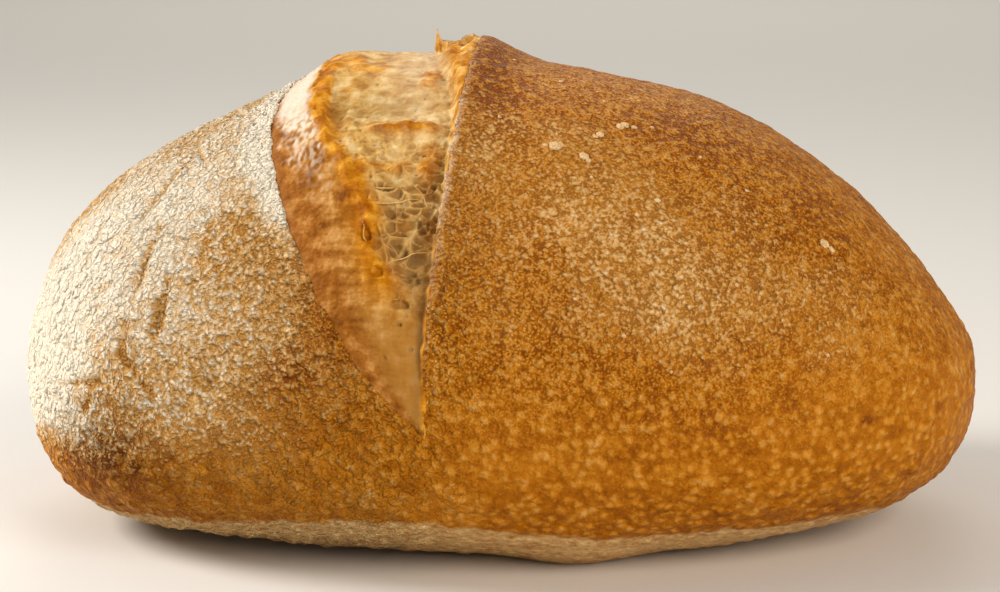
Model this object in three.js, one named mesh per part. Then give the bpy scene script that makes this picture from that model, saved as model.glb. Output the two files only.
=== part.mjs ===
// A crusty hearth loaf: one domed oval body on a flat base, opened across the top by a single
// slash. The slash runs over the loaf from the front waist to low on the back. Its right lip
// stands up as a thin ear, and torn crumb swells out between the two lips.
//
// Millimetres. +X runs along the loaf, -Y is its front, +Z is up, and the origin is at the
// middle of the base. A place on the skin is (x, angle): its station along the loaf, and the
// angle round the loaf in degrees, 0 at the front waist, 90 on the crest, 180 at the back
// waist and 270 under the middle.

import * as THREE from "three";
import { mergeVertices } from "three/addons/utils/BufferGeometryUtils.js";

// ---- Driving dimensions of the body ----
const HALF_LENGTH = 110;
const HALF_WIDTH = 74;
const WAIST = 36; // height of the widest level above the base
// Rise of the crest above the waist, at even stations from the left end to the right end.
const CREST_RISE = [81, 72.5, 72, 75, 71, 68.5, 66.5, 59.5, 42];
// Drop of the underside below the waist, at even stations. What passes below the base is cut flat.
const KEEL_DROP = [60, 44, 39.5, 39.5, 40.5, 43, 53];
const CREST_FULLNESS = 2.0; // 2 is an ellipse, and more is squarer
const PLAN_FULLNESS = 2.3;
const KEEL_FULLNESS = 2.3;
const UPPER_SECTION_FULLNESS = 2.1;
const LOWER_SECTION_FULLNESS = 2.5;

// Soft swellings and hollows that make this loaf uneven: where, how far they reach, how much.
const SWELLINGS = [
  { x: 16, angle: -58, reachX: 13, reachAngle: 22, rise: 2.6 }, // foot of the front
  { x: 96, angle: 62, reachX: 9, reachAngle: 40, rise: 1.0 }, // knuckle of the right end
  { x: -92, angle: 35, reachX: 16, reachAngle: 40, rise: 1.2 }, // shoulder of the left end
  { x: -78, angle: -20, reachX: 14, reachAngle: 26, rise: 1.6 }, // blistered corner
  { x: -66, angle: 80, reachX: 16, reachAngle: 40, rise: -0.9 }, // hollow beside the slash
  { x: 55, angle: 118, reachX: 26, reachAngle: 30, rise: 1.6 }, // back of the right half
  { x: -60, angle: 140, reachX: 22, reachAngle: 26, rise: 1.3 }, // back of the left half
  { x: 84, angle: 232, reachX: 20, reachAngle: 26, rise: 1.8 }, // foot of the back
];

// ---- Driving dimensions of the slash ----
const SLASH_FROM = 0; // angle of its front tip
const SLASH_TO = 160; // angle of its back tip
const SLASH_WIDTH = 44; // at its widest, on top
const SLASH_ROUNDNESS = 0.7; // lower makes the lens of the slash blunter
const SLASH_AT = -16.4; // station of the right lip at the front tip
const SLASH_LEAN = 0.15; // mm that the lip moves right for each degree past LEAN_FROM
const LEAN_FROM = 10;
const TIP_WIDTH = 1.6; // the slash never closes to less than this, but has no depth there
const FLOOR_DEPTH = 8; // of the crumb below the skin, on the front
const CROWN_AT = 95; // angle at which the crumb has risen most
const CROWN_REACH = 38;
const CROWN_FILL = 0.8; // share of the depth that the risen crumb fills there
const SWELL = 2.0; // how far the crumb's left half stands above the skin there
const SWELL_PLACE = 0.24; // share of the way from the left lip to the right one
const SWELL_REACH = 0.2;
const SWELL_FROM = 0.12; // it rises from the left lip over this share
const CREASE_DEPTH = 1.8; // fold at the foot of the left lip
const CREASE_PLACE = 0.055;
const CREASE_REACH = 0.035;
const BAND_LEAST = 0.14; // share of the slash that is smooth band, on top
const BAND_GROWTH = 0.56; // added to that at BAND_REACH degrees from the slash's middle
const BAND_REACH = 65;
const BAND_DROP = 0.4; // share of the depth that the band goes down

// ---- The ear: the right lip, lifted by the burst ----
const EAR_LIFT = 1.2; // all along the lip
const EAR_PEAK = 3.0; // more of it near the crest
const EAR_PEAK_AT = 93;
const EAR_PEAK_REACH = 22;
const EAR_REACH = 8.5; // how far the lift runs into the right half
const WALL_FROM = 0.86; // share of the crumb's width at which the wall under the ear begins
const COLLAR_WIDTH = 0.17; // the torn collar on the crest begins and is up that much earlier
const COLLAR_AT = 90;
const COLLAR_REACH = 17;
const COLLAR_RAGGED = 1.3; // height of its torn edge's ups and downs
const RAG_SIZE = 2.5;

// ---- Torn crumb ----
const CRUMB_FALL = 0.55; // share of the crumb's width over which it drops to its floor
const CRUMB_EDGE = 0.15; // and over which it turns from smooth to torn
const CRAG_HEIGHT = 1.0;
const CRAG_SIZE = 6.5;
const PITS = 26;
const PIT_DEPTH = 2.4;
const PIT_RADIUS = 3.1;
const SHARD = { x: -14.9, angle: 96, height: 4.5, reachX: 1.8, reachAngle: 2.4 }; // torn spike

// ---- Mesh of the skin ----
const ROWS_AROUND = 96;
const LEFT_COLUMNS = 19;
const SLASH_COLUMNS = 18;
const RIGHT_COLUMNS = 24;
const COLUMNS = LEFT_COLUMNS + SLASH_COLUMNS + RIGHT_COLUMNS;
const BOTTOM = -90; // the angle at which the rows begin and end
const SLASH_MARGIN = 4;
const ROWS_BEFORE_SLASH = 0.15; // share of the rows in the front's lower part
const ROWS_AFTER_SLASH = 0.17; // and in the back's lower part
const SEAM_WIDTH = 22; // of the slash's columns where they pass under the loaf

const BREAD_CRUST = new THREE.MeshStandardMaterial({ color: "#bd7f3d", roughness: 0.75, metalness: 0 });

const bell = (offset, reach) => Math.exp(-((offset / reach) ** 2));
const mix = (a, b, share) => a + (b - a) * share;
const smooth = (from, to, value) => THREE.MathUtils.smoothstep(value, from, to);

// The smooth curve through evenly spaced values, read at s from -1 to 1.
function alongStations(values, s) {
  const place = ((s + 1) / 2) * (values.length - 1);
  const i = Math.min(Math.max(Math.floor(place), 0), values.length - 2);
  const t = place - i;
  const at = (k) => {
    if (k < 0) return 2 * values[0] - values[1];
    if (k >= values.length) return 2 * values.at(-1) - values.at(-2);
    return values[k];
  };
  const [p0, p1, p2, p3] = [at(i - 1), at(i), at(i + 1), at(i + 2)];
  const bend = 2 * p0 - 5 * p1 + 4 * p2 - p3;
  const twist = 3 * p1 - p0 - 3 * p2 + p3;
  return 0.5 * (2 * p1 + (p2 - p0) * t + bend * t * t + twist * t ** 3);
}

// 1 in the middle and 0 at both ends, with ends as round as the fullness says.
const roundEnded = (s, fullness) => Math.max(0, 1 - Math.abs(s) ** fullness) ** (1 / fullness);

const squared = (value, fullness) => Math.sign(value) * Math.abs(value) ** (2 / fullness);

// Repeatable value noise from 0 to 1, with bumps about one unit apart.
function noise(a, b) {
  const corner = (i, j) => {
    const mixed = Math.sin(i * 127.1 + j * 311.7) * 43758.5453;
    return mixed - Math.floor(mixed);
  };
  const [i, j] = [Math.floor(a), Math.floor(b)];
  const [u, v] = [smooth(0, 1, a - i), smooth(0, 1, b - j)];
  const near = mix(corner(i, j), corner(i + 1, j), u);
  const far = mix(corner(i, j + 1), corner(i + 1, j + 1), u);
  return mix(near, far, v);
}

// How far the slash gapes at this angle, as a share of its widest.
function gape(angle) {
  const share = (angle - SLASH_FROM) / (SLASH_TO - SLASH_FROM);
  return share <= 0 || share >= 1 ? 0 : Math.sin(Math.PI * share) ** SLASH_ROUNDNESS;
}

// Station of the right lip. Past the back tip it swings back under the loaf to the front tip.
function rightLip(angle) {
  const lean = (degrees) => SLASH_AT + SLASH_LEAN * Math.max(0, degrees - LEAN_FROM);
  const past = angle < SLASH_FROM ? angle + 360 : angle;
  if (past <= SLASH_TO) return lean(past);
  return mix(lean(SLASH_TO), SLASH_AT, smooth(SLASH_TO, 360 + SLASH_FROM, past));
}

// Width that the slash's columns take up: its gape, or a plain strip where there is no slash.
function columnWidth(angle) {
  const past = angle < SLASH_FROM ? angle + 360 : angle;
  const under = Math.max(0, (past - SLASH_TO) / (360 + SLASH_FROM - SLASH_TO));
  return Math.max(TIP_WIDTH, SLASH_WIDTH * gape(angle), SEAM_WIDTH * Math.sin(Math.PI * under));
}

// Centres of the crumb's larger holes, spread evenly by the golden ratio.
const pits = Array.from({ length: PITS }, (_, n) => ({
  across: mix(0.34, 0.9, (n * 0.618034) % 1),
  angle: mix(12, 148, (n + 0.5) / PITS),
  size: mix(0.6, 1.2, (n * 0.754878) % 1),
}));

// Height of the slash's bottom above the skin, at a share of the way from left to right lip.
function slashRelief(across, x, angle) {
  const open = gape(angle);
  const crown = bell(angle - CROWN_AT, CROWN_REACH);
  const floor = -FLOOR_DEPTH * open * (1 - CROWN_FILL * crown);
  const middle = (SLASH_FROM + SLASH_TO) / 2;
  const bandEnd = BAND_LEAST + BAND_GROWTH * (Math.abs(angle - middle) / BAND_REACH) ** 1.5;
  const crease = -CREASE_DEPTH * open * bell(across - CREASE_PLACE, CREASE_REACH);
  const swell = SWELL * crown * bell(across - SWELL_PLACE, SWELL_REACH) * smooth(0, SWELL_FROM, across);
  if (across < bandEnd) return crease + swell + floor * BAND_DROP * (across / bandEnd) ** 2;

  const inCrumb = (across - bandEnd) / (1 - bandEnd);
  const collar = bell(angle - COLLAR_AT, COLLAR_REACH);
  const wall = smooth(WALL_FROM - COLLAR_WIDTH * collar, 1 - COLLAR_WIDTH * collar, inCrumb);
  const torn = smooth(0, CRUMB_EDGE, inCrumb) * (1 - wall) * open;
  let crumb = floor * mix(BAND_DROP, 1, smooth(0, CRUMB_FALL, inCrumb)) + swell + crease;
  crumb += CRAG_HEIGHT * torn * (2 * noise(x / CRAG_SIZE, angle / CRAG_SIZE) - 1);
  for (const pit of pits) {
    const nearX = ((across - pit.across) * SLASH_WIDTH * open) / (PIT_RADIUS * pit.size);
    const nearRound = (angle - pit.angle) / (PIT_RADIUS * pit.size);
    crumb -= PIT_DEPTH * pit.size * torn * Math.exp(-(nearX ** 2) - nearRound ** 2);
  }
  const halfwayUp = 4 * wall * (1 - wall);
  const ragged = COLLAR_RAGGED * collar * halfwayUp * noise(x / RAG_SIZE, angle / RAG_SIZE);
  return mix(crumb, earLift(x, angle), wall) + ragged;
}

// How far the ear lifts the skin of the right half.
function earLift(x, angle) {
  const lift = EAR_LIFT * gape(angle) + EAR_PEAK * bell(angle - EAR_PEAK_AT, EAR_PEAK_REACH);
  return lift * bell(Math.max(0, x - rightLip(angle)), EAR_REACH);
}

// Height of everything that departs from the plain body, measured outwards round the loaf.
function reliefAt(x, angle) {
  let relief = 0;
  for (const s of SWELLINGS) {
    const turn = THREE.MathUtils.euclideanModulo(angle - s.angle + 180, 360) - 180;
    relief += s.rise * bell(x - s.x, s.reachX) * bell(turn, s.reachAngle);
  }
  const [left, right] = [rightLip(angle) - columnWidth(angle), rightLip(angle)];
  if (x >= right) relief += earLift(x, angle);
  else if (x > left) relief += slashRelief((x - left) / (right - left), x, angle);
  relief += SHARD.height * bell(x - SHARD.x, SHARD.reachX) * bell(angle - SHARD.angle, SHARD.reachAngle);
  return relief;
}

// The skin's place in space at a station and an angle.
function skinPoint(x, angle) {
  const s = x / HALF_LENGTH;
  const turn = THREE.MathUtils.degToRad(angle);
  const upper = Math.sin(turn) > 0;
  const fullness = upper ? UPPER_SECTION_FULLNESS : LOWER_SECTION_FULLNESS;
  const end = roundEnded(s, PLAN_FULLNESS);
  const half = HALF_WIDTH * end;
  const rise = alongStations(CREST_RISE, s) * roundEnded(s, CREST_FULLNESS);
  const drop = alongStations(KEEL_DROP, s) * roundEnded(s, KEEL_FULLNESS);
  const relief = reliefAt(x, angle) * end;
  const y = -half * squared(Math.cos(turn), fullness) - relief * Math.cos(turn);
  const z = (upper ? rise : drop) * squared(Math.sin(turn), fullness) + relief * Math.sin(turn);
  return new THREE.Vector3(x, y, Math.max(0, WAIST + z));
}

// The angle of a row: rows are closest together where the slash is.
function rowAngle(share) {
  const before = ROWS_BEFORE_SLASH;
  const after = 1 - ROWS_AFTER_SLASH;
  const [from, to] = [SLASH_FROM - SLASH_MARGIN, SLASH_TO + SLASH_MARGIN];
  if (share < before) return mix(BOTTOM, from, share / before);
  if (share < after) return mix(from, to, (share - before) / (after - before));
  return mix(to, BOTTOM + 360, (share - after) / (1 - after));
}

// The station of a column: the lips are columns, and the ends are rounded evenly.
function columnStation(column, angle) {
  const right = rightLip(angle);
  const left = right - columnWidth(angle);
  if (column <= LEFT_COLUMNS) {
    return mix(-HALF_LENGTH, left, 1 - Math.cos((column / LEFT_COLUMNS) * (Math.PI / 2)));
  }
  if (column <= LEFT_COLUMNS + SLASH_COLUMNS) {
    return mix(left, right, (column - LEFT_COLUMNS) / SLASH_COLUMNS);
  }
  return mix(HALF_LENGTH, right, 1 - Math.cos(((COLUMNS - column) / RIGHT_COLUMNS) * (Math.PI / 2)));
}

// A sphere with its poles at the loaf's ends, drawn out to the loaf's skin.
function loafGeometry() {
  const ball = new THREE.SphereGeometry(1, ROWS_AROUND, COLUMNS);
  const { position, uv } = ball.attributes;
  for (let i = 0; i < position.count; i++) {
    const column = Math.round((1 - uv.getY(i)) * COLUMNS);
    const atPole = column === 0 || column === COLUMNS;
    const angle = rowAngle(atPole ? 0 : uv.getX(i));
    const place = skinPoint(columnStation(column, angle), angle);
    position.setXYZ(i, place.x, place.y, place.z);
  }
  ball.deleteAttribute("uv");
  ball.deleteAttribute("normal");
  const skin = mergeVertices(ball, 1e-3);
  skin.computeVertexNormals();
  return skin;
}

const loaf = new THREE.Mesh(loafGeometry(), BREAD_CRUST);
loaf.name = "loaf";

const crustyLoaf = new THREE.Group();
crustyLoaf.add(loaf);

export default crustyLoaf;
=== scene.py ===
# %% [markdown]
# # A crusty hearth loaf, burst along one slash
#
# A lean oval loaf is dusted with flour, slashed once across its top and baked on a hot stone.
# The crust sets, the crumb goes on rising, and the slash tears open between two lips.
# The lesson dresses that loaf: first its crust, then the torn crumb, then the finest shreds.
# Shapes are worked out in millimetres round the loaf's own axis and handed to Blender in metres.

# %% Open the loaf's solid
import math

import bmesh
import bpy
import numpy as np
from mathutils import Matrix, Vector, noise


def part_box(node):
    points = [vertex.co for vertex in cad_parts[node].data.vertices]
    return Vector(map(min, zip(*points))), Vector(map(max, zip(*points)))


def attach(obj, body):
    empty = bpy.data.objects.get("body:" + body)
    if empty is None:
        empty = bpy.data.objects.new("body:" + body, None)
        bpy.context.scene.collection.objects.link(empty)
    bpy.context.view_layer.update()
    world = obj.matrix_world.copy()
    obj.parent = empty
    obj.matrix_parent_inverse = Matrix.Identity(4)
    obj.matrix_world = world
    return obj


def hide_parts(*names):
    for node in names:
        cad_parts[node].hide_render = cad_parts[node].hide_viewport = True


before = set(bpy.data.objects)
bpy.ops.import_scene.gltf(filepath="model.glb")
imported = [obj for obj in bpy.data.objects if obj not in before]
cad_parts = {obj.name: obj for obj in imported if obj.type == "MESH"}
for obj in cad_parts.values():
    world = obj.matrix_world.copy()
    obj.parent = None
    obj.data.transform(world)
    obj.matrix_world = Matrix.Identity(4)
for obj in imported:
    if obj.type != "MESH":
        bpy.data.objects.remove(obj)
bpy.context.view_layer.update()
low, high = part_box("loaf")
MM = 0.001
HALF_LENGTH = (high.x - low.x) / 2 / MM
HALF_WIDTH = (high.y - low.y) / 2 / MM
print(f"the solid is {2 * HALF_LENGTH:.0f} mm long and {2 * HALF_WIDTH:.0f} mm wide")

# %% [markdown]
# ## The light and the camera
#
# Bread looks crusty when light grazes it: a big soft source high on the left throws each grain
# of flour into relief, a weaker one in front keeps the shadows open, and a wide one far behind
# draws the top edge. A single sun would be harsher, and an even sky would flatten the crust.
# The camera stands in front, ten degrees above the loaf, with a short portrait lens.

# %% Small helpers
def colour(hex_code):
    """An sRGB hex colour as the linear values that Blender's sockets hold."""
    channels = [int(hex_code[i : i + 2], 16) / 255 for i in (1, 3, 5)]
    linear = [c / 12.92 if c <= 0.04045 else ((c + 0.055) / 1.055) ** 2.4 for c in channels]
    return (*linear, 1.0)


def link(thing):
    """Puts an object in the scene and hands it back."""
    bpy.context.scene.collection.objects.link(thing)
    return thing


def look_at(thing, target):
    """Turns a camera or a light to face a point."""
    thing.rotation_euler = (target - thing.location).to_track_quat("-Z", "Y").to_euler()


def to_mesh(name, bm):
    """Turns a bmesh into a smooth mesh and frees it."""
    mesh = bpy.data.meshes.new(name)
    bm.to_mesh(mesh)
    bm.free()
    mesh.shade_smooth()
    return mesh


# %% Camera
CAMERA_TARGET = Vector((-0.7, 0.0, 51.06)) * MM
CAMERA_DISTANCE = 555 * MM
CAMERA_ELEVATION = math.radians(10)

camera = link(bpy.data.objects.new("camera", bpy.data.cameras.new("camera")))
camera.data.lens = 85
camera.data.sensor_width = 36
camera.data.clip_start = 0.01
back_and_up = Vector((0, -math.cos(CAMERA_ELEVATION), math.sin(CAMERA_ELEVATION)))
camera.location = CAMERA_TARGET + CAMERA_DISTANCE * back_and_up
look_at(camera, CAMERA_TARGET)
bpy.context.scene.camera = camera
print("camera at", [round(c, 3) for c in camera.location])

# %% Lights
LIGHTS = [
    # name, place in metres, width, power in watts, colour
    ("key_high_left", (-0.84, 0.02, 0.56), 0.42, 10.2, "#fffdfa"),
    ("fill_front_right", (0.75, -0.90, 0.66), 0.80, 12.0, "#fff8ee"),
    ("rim_behind", (0.10, 2.60, 1.95), 2.40, 26.0, "#fffaf2"),
]
LOAF_MIDDLE = Vector((0, 0, 0.05))

for name, place, lamp_width, power, tint in LIGHTS:
    lamp = bpy.data.lights.new(name, "AREA")
    lamp.shape = "DISK"
    lamp.size = lamp_width
    lamp.energy = power
    lamp.color = colour(tint)[:3]
    stand = link(bpy.data.objects.new(name, lamp))
    stand.location = place
    look_at(stand, LOAF_MIDDLE)

world = bpy.data.worlds.new("studio")
world.use_nodes = True
world.node_tree.nodes["Background"].inputs["Color"].default_value = colour("#f1ede6")
world.node_tree.nodes["Background"].inputs["Strength"].default_value = 0.42
bpy.context.scene.world = world
bpy.context.scene.view_settings.view_transform = "Standard"
print(len(LIGHTS), "lights and a pale sky")

# %% [markdown]
# ## The form of the loaf
#
# A place on the skin is a station along the loaf and an angle round it: 0 at the front waist,
# 90 on the crest, 180 at the back waist, -90 underneath. The same few dimensions that shape the
# solid shape the crust here, so crust and solid agree, and the fine relief is added to them.

# %% Curves that the form is made of
def bell(offset, reach):
    """1 in the middle, falling to nothing past its reach."""
    return np.exp(-((offset / reach) ** 2))


def ramp(start, stop, value):
    """0 before start, 1 past stop, and smooth between."""
    share = np.clip((value - start) / (stop - start), 0, 1)
    return share * share * (3 - 2 * share)


def mix(a, b, share):
    return a + (b - a) * share


def along_stations(values, s):
    """The smooth curve through evenly spaced values, read at s from -1 to 1."""
    padded = np.array([2 * values[0] - values[1], *values, 2 * values[-1] - values[-2]])
    place = (s + 1) / 2 * (len(values) - 1)
    i = np.clip(np.floor(place), 0, len(values) - 2).astype(int)
    t = place - i
    p0, p1, p2, p3 = (padded[i + k] for k in range(4))
    bend = 2 * p0 - 5 * p1 + 4 * p2 - p3
    twist = 3 * p1 - p0 - 3 * p2 + p3
    return 0.5 * (2 * p1 + (p2 - p0) * t + bend * t**2 + twist * t**3)


def round_ended(s, fullness):
    """1 in the middle and 0 at both ends, rounder as fullness grows."""
    return np.maximum(0, 1 - np.abs(s) ** fullness) ** (1 / fullness)


def squared(value, fullness):
    return np.sign(value) * np.abs(value) ** (2 / fullness)


# %% The body
WAIST = 36
CREST_RISE = [81, 72.5, 72, 75, 71, 68.5, 66.5, 59.5, 42]
KEEL_DROP = [60, 44, 39.5, 39.5, 40.5, 43, 53]
SWELLINGS = [
    # station, angle, reach along, reach round in degrees, rise
    (16, -58, 13, 22, 2.6),
    (96, 62, 9, 40, 1.0),
    (-92, 35, 16, 40, 1.2),
    (-78, -20, 14, 26, 1.6),
    (-66, 80, 16, 40, -0.9),
    (55, 118, 26, 30, 1.6),
    (-60, 140, 22, 26, 1.3),
    (84, 232, 20, 26, 1.8),
]


def swollen(x, angle):
    """Height of the loaf's soft swellings and hollows."""
    rise = np.zeros_like(x)
    for station, at, along, around, height in SWELLINGS:
        turned = np.mod(angle - at + 180, 360) - 180
        rise += height * bell(x - station, along) * bell(turned, around)
    return rise


def skin_place(x, angle, relief):
    """Points of the skin in mm, lifted outwards round the loaf's axis by the relief."""
    s = np.clip(x / HALF_LENGTH, -1, 1)
    turn = np.radians(angle)
    cos, sin = np.cos(turn), np.sin(turn)
    upper = sin > 0
    fullness = np.where(upper, 2.1, 2.5)
    end = round_ended(s, 2.3)
    rise = along_stations(CREST_RISE, s) * round_ended(s, 2.0)
    drop = along_stations(KEEL_DROP, s) * end
    y = -HALF_WIDTH * end * squared(cos, fullness) - relief * end * cos
    z = WAIST + np.where(upper, rise, drop) * squared(sin, fullness) + relief * end * sin
    return np.column_stack([x, y, np.maximum(z, 0)])


# %% The slash and its lips
SLASH_FROM, SLASH_TO = 0, 160
SLASH_WIDTH = 44
SLASH_AT = -16.4
SLASH_LEAN = 0.15
LEAN_FROM = 10
EAR_LIFT = 1.2
EAR_PEAK = 3.0
EAR_PEAK_AT = 93


def gape(angle):
    """How far the slash is open, as a share of its widest."""
    share = np.clip((angle - SLASH_FROM) / (SLASH_TO - SLASH_FROM), 0, 1)
    return np.sin(np.pi * share) ** 0.7


def right_lip(angle):
    """Station of the right lip. Under the loaf it swings back to the front tip."""
    past = np.where(angle < SLASH_FROM, angle + 360, angle)
    lean = SLASH_AT + SLASH_LEAN * np.maximum(0, np.minimum(past, SLASH_TO) - LEAN_FROM)
    return mix(lean, SLASH_AT, ramp(SLASH_TO, 360 + SLASH_FROM, past))


def left_lip(angle):
    return right_lip(angle) - SLASH_WIDTH * gape(angle)


def ear_lift(x, angle):
    """How far the burst has lifted the skin of the right half near its lip."""
    lift = EAR_LIFT * gape(angle) + EAR_PEAK * bell(angle - EAR_PEAK_AT, 22)
    return lift * bell(np.maximum(0, x - right_lip(angle)), 8.5)


widest = float(right_lip(np.array(80.0)) - left_lip(np.array(80.0)))
print(f"the slash gapes {widest:.0f} mm on top")

# %% [markdown]
# ## The crust
#
# The skin of the dough is one closed sheet. The baker cuts it once, and the oven pulls the two
# lips apart. It is modelled the same way: a cube is divided finely, cut along one loop of edges
# and laid round the loaf, where the two sides of the cut part to the lips. A sphere would crowd
# its faces at the poles, and a cube has none. The torn lips are then turned in by extruding
# their edges, which shows the skin's thickness.

# %% Divide a cube and cut its skin
CELLS_LEFT, CELLS_RIGHT = 62, 98  # of the crust, from the slash to each end
CELLS_DEEP, CELLS_HIGH = 112, 106
CORNER_ANGLES = [-32, 48, 132, 212, 328]  # where the cube's long edges lie round the loaf
LIP_TURNS = 3  # how often the lips' edges are extruded

cells_long = CELLS_LEFT + CELLS_RIGHT
cut_at = -1 + 2 * CELLS_LEFT / cells_long
crust_bm = bmesh.new()
bmesh.ops.create_cube(crust_bm, size=2)
for axis, cells in enumerate((cells_long, CELLS_DEEP, CELLS_HIGH)):
    crossing = [e for e in crust_bm.edges if abs(e.verts[0].co[axis] - e.verts[1].co[axis]) > 1.5]
    bmesh.ops.subdivide_edges(crust_bm, edges=crossing, cuts=cells - 1, use_grid_fill=True)
print("the crust has", len(crust_bm.faces), "faces")


# %% Angles round the loaf
def angle_round(y, z):
    """Angle of a point of the cube's section: even along each side, from corner to corner."""
    reach = np.maximum(np.maximum(np.abs(y), np.abs(z)), 1e-9)
    u, v = y / reach, z / reach
    sides = [(u <= -1 + 1e-6, v), (v >= 1 - 1e-6, u), (u >= 1 - 1e-6, -v), (v <= -1 + 1e-6, -u)]
    around = np.zeros_like(y)
    for (on_side, place), start, stop in zip(sides, CORNER_ANGLES, CORNER_ANGLES[1:]):
        around = np.where(on_side, mix(start, stop, (place + 1) / 2), around)
    return np.where(around > 270, around - 360, around)


def in_slash(vert):
    turned = float(angle_round(np.array([vert.co.y]), np.array([vert.co.z]))[0])
    return SLASH_FROM - 0.5 < turned < SLASH_TO + 0.5


# %% Slit the skin and turn its lips in
side_layer = crust_bm.verts.layers.float.new("side")
turn_layer = crust_bm.verts.layers.float.new("lip_turn")
ring = [e for e in crust_bm.edges if all(abs(v.co.x - cut_at) < 1e-4 for v in e.verts)]
slit = [e for e in ring if all(in_slash(v) for v in e.verts)]
bmesh.ops.split_edges(crust_bm, edges=slit)
for vert in crust_bm.verts:
    if vert.is_boundary:
        middle = sum(f.calc_center_median().x for f in vert.link_faces) / len(vert.link_faces)
        vert[side_layer] = math.copysign(1, middle - cut_at) if abs(middle - cut_at) > 1e-4 else 0

for step in range(1, LIP_TURNS + 1):
    edges = [e for e in crust_bm.edges if e.is_boundary]
    grown = bmesh.ops.extrude_edge_only(crust_bm, edges=edges)["geom"]
    for vert in (v for v in grown if isinstance(v, bmesh.types.BMVert)):
        vert[turn_layer] = step

crust_mesh = to_mesh("crust", crust_bm)
print("the slit is", len(slit), "edges long")


# %% Read and write a mesh's points in one go
def get_points(mesh):
    points = np.empty(len(mesh.vertices) * 3)
    mesh.vertices.foreach_get("co", points)
    return points.reshape(-1, 3)


def set_points(mesh, points):
    mesh.vertices.foreach_set("co", np.ascontiguousarray(points, dtype=np.float32).ravel())
    mesh.update()


def get_normals(mesh):
    normals = np.empty(len(mesh.vertices) * 3)
    mesh.vertex_normals.foreach_get("vector", normals)
    return normals.reshape(-1, 3)


def get_layer(mesh, name):
    values = np.empty(len(mesh.vertices))
    mesh.attributes[name].data.foreach_get("value", values)
    return values


def set_layers(mesh, layers):
    """Stores named numbers on every point, for the material to read."""
    for name, values in layers.items():
        layer = mesh.attributes.get(name) or mesh.attributes.new(name, "FLOAT", "POINT")
        layer.data.foreach_set("value", np.ascontiguousarray(values, dtype=np.float32))


# %% Lay the skin round the loaf
END_SHARE = 0.45  # share of the way to each end that the cube's end faces cover

cube = get_points(crust_mesh)
side = get_layer(crust_mesh, "side")
lip_turn = get_layer(crust_mesh, "lip_turn").round()
crust_angle = angle_round(cube[:, 1], cube[:, 2])
is_right = np.where(side == 0, cube[:, 0] > cut_at, side > 0)
to_end = np.where(is_right, (cube[:, 0] - cut_at) / (1 - cut_at), (cut_at - cube[:, 0]) / (1 + cut_at))
inward = 1 - np.maximum(np.abs(cube[:, 1]), np.abs(cube[:, 2]))
way = (1 - END_SHARE) * np.clip(to_end, 0, 1) + END_SHARE * inward
lip = np.where(is_right, right_lip(crust_angle), left_lip(crust_angle))
crust_x = mix(lip, np.where(is_right, HALF_LENGTH, -HALF_LENGTH), np.sin(way * np.pi / 2))
from_lip = np.abs(crust_x - lip)
crust_open = gape(crust_angle)

plain_relief = swollen(crust_x, crust_angle) + np.where(is_right, ear_lift(crust_x, crust_angle), 0)
plain_skin = skin_place(crust_x, crust_angle, plain_relief)
set_points(crust_mesh, plain_skin)
print("skin laid from", plain_skin.min(0).round(1), "to", plain_skin.max(0).round(1))

# %% [markdown]
# ## Relief of the crust
#
# A dough's skin is never smooth: it wrinkles where it is stretched, blisters where gas gathers
# under it, and is rough where it was rolled in flour. Forms wider than about two millimetres
# are moved into the mesh here, along its normals, and finer grain is left to the material.

# %% Noise on points
def noise_at(points, size, seed=0, stretch=(1, 1, 1)):
    """Smooth noise from -1 to 1, with bumps about size mm across."""
    spots = points / (size * np.array(stretch)) + 17.3 * seed
    return np.array([noise.noise(spot) for spot in spots.tolist()])


def cells_at(points, size, seed=0, stretch=(1, 1, 1)):
    """Distance to the nearest cell centre and to the cell's wall, in shares of the size."""
    spots = points / (size * np.array(stretch)) + 17.3 * seed
    near = np.array([noise.voronoi(spot)[0][:2] for spot in spots.tolist()])
    return near[:, 0], near[:, 1] - near[:, 0]


def lumps_at(points):
    """The dough's own unevenness in mm, which crust and crumb share."""
    return 0.45 * noise_at(points, 24, 1) + 0.25 * noise_at(points, 9, 2)


def skin_noise(size, seed, stretch=(1, 1, 1)):
    """Noise over the plain skin of the crust."""
    return noise_at(plain_skin, size, seed, stretch)


# %% Creases in the skin
MM_PER_DEGREE = 1.2  # round the front of the loaf
CREASES = [
    # from station and angle, to station and angle, depth, half width
    (-68, 68, -79.4, 48.6, 0.45, 0.9),
    (-72.8, 46, -79.0, 29, 0.75, 0.9),
    (-70.8, 31, -74.0, 16, 0.75, 0.9),
    (-91, 29, -84.5, 33, 0.4, 0.9),
    (-80, 22, -80.6, 13, 0.4, 0.9),
    (-105, 2, -86.5, 6.2, 0.65, 0.9),
    (-87.6, 6.2, -91.5, -3, 0.55, 1.0),
    (-82, 14, -76, 5.6, 0.6, 0.9),
    (-77, 7, -73.5, 3.6, 0.5, 0.9),
    (-62, 42, -66, 24, 0.3, 0.9),
    (-98, 16, -90, 14, 0.35, 0.9),
    (-88, 58, -93, 36, 0.3, 1.0),
    (-17.2, 0.5, -13.6, -8, 0.5, 0.9),
    (12.8, 33, 12.4, 20, 0.3, 0.5),
    (20.2, 34, 19.6, 20, 0.3, 0.5),
    (27.5, 40, 24.6, 20, 0.25, 0.5),
    (56, 10, 47, 17, 0.25, 0.5),
    (10, 8, 40, 5, 0.2, 0.7),
]


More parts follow.
